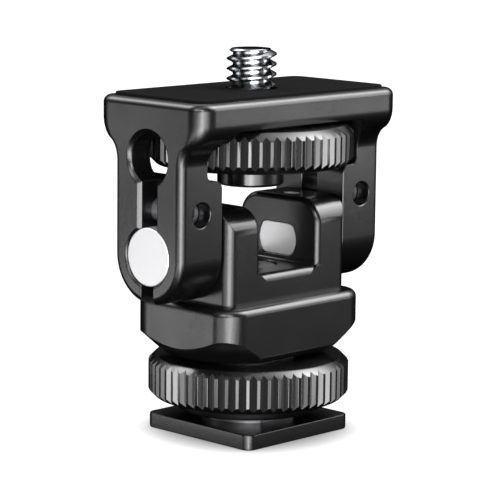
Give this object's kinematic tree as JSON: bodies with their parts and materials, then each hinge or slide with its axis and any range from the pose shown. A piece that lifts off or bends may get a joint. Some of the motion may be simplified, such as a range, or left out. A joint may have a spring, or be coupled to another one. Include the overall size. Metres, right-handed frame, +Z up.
{
  "type": "tilt and swivel mount",
  "caption": "Swivelling clevis block on a cold shoe foot with a knurled lock ring, carrying a tilting yoke whose padded plate holds a threaded stud turned by a thumb wheel.",
  "frame": {"origin": "bottom centre of the cold shoe foot, on the swivel axis", "axes": "+Z up along the swivel axis and the stud; +X along the tilt axis, to the right as seen from the front; -Y is the front, where the tension screws are"},
  "size_m": [0.036, 0.026, 0.049],
  "materials": {
    "anodised_black": "satin black anodised",
    "knurled_black": "black anodised, knurled",
    "steel": "machined steel",
    "bright_steel": "bright turned stainless steel",
    "screw_steel": "plain steel",
    "nylon": "black nylon",
    "rubber_pad": "matt black rubber"
  },
  "bodies": {
    "foot": {"shoe_foot": "anodised_black", "swivel_stem": "steel", "centre_screw": "screw_steel"},
    "clamp": {"clamp_washer": "anodised_black"},
    "ring": {"lock_ring": "knurled_black"},
    "base": {"base_block": "anodised_black", "swivel_washer": "nylon", "cone_spring": "screw_steel", "pivot_shaft_left": "bright_steel", "pivot_shaft_right": "bright_steel", "set_screw_left": "screw_steel", "set_screw_right": "screw_steel", "thrust_washer_left": "nylon", "thrust_washer_right": "nylon"},
    "yoke": {"yoke_frame": "anodised_black", "top_pad": "rubber_pad"},
    "tension_left": {"tension_screw_left": "screw_steel"},
    "tension_right": {"tension_screw_right": "screw_steel"},
    "thumb": {"thumb_wheel": "knurled_black", "wheel_hub": "anodised_black", "stud_screw": "bright_steel", "stud_clip": "screw_steel", "wheel_washer": "nylon"}
  },
  "joints": [
    {"name": "clamp_slide", "type": "slide", "parent": "foot", "child": "clamp", "axis": [0, 0, 1], "range_m": [-0.00076, 0.00051]},
    {"name": "ring_turn", "type": "hinge", "parent": "clamp", "child": "ring", "pos_m": [0, 0, 0.007], "axis": [0, 0, 1], "range_deg": [-270, 180]},
    {"name": "swivel", "type": "hinge", "parent": "foot", "child": "base", "pos_m": [0, 0, 0.01055], "axis": [0, 0, 1], "continuous": true},
    {"name": "tilt", "type": "hinge", "parent": "base", "child": "yoke", "pos_m": [0, 0, 0.02424], "axis": [1, 0, 0], "range_deg": [-90, 90]},
    {"name": "thumb_turn", "type": "hinge", "parent": "yoke", "child": "thumb", "pos_m": [0, 0, 0.037], "axis": [0, 0, 1], "continuous": true},
    {"name": "tension_left_turn", "type": "hinge", "parent": "yoke", "child": "tension_left", "pos_m": [-0.01448, 0, 0.02974], "axis": [0, -1, 0], "range_deg": [-90, 90]},
    {"name": "tension_right_turn", "type": "hinge", "parent": "yoke", "child": "tension_right", "pos_m": [0.01448, 0, 0.02974], "axis": [0, -1, 0], "range_deg": [-90, 90]}
  ],
  "couplings": [
    {"joint": "clamp_slide", "follows": "ring_turn", "m_per_rad": 0.00015915}
  ]
}
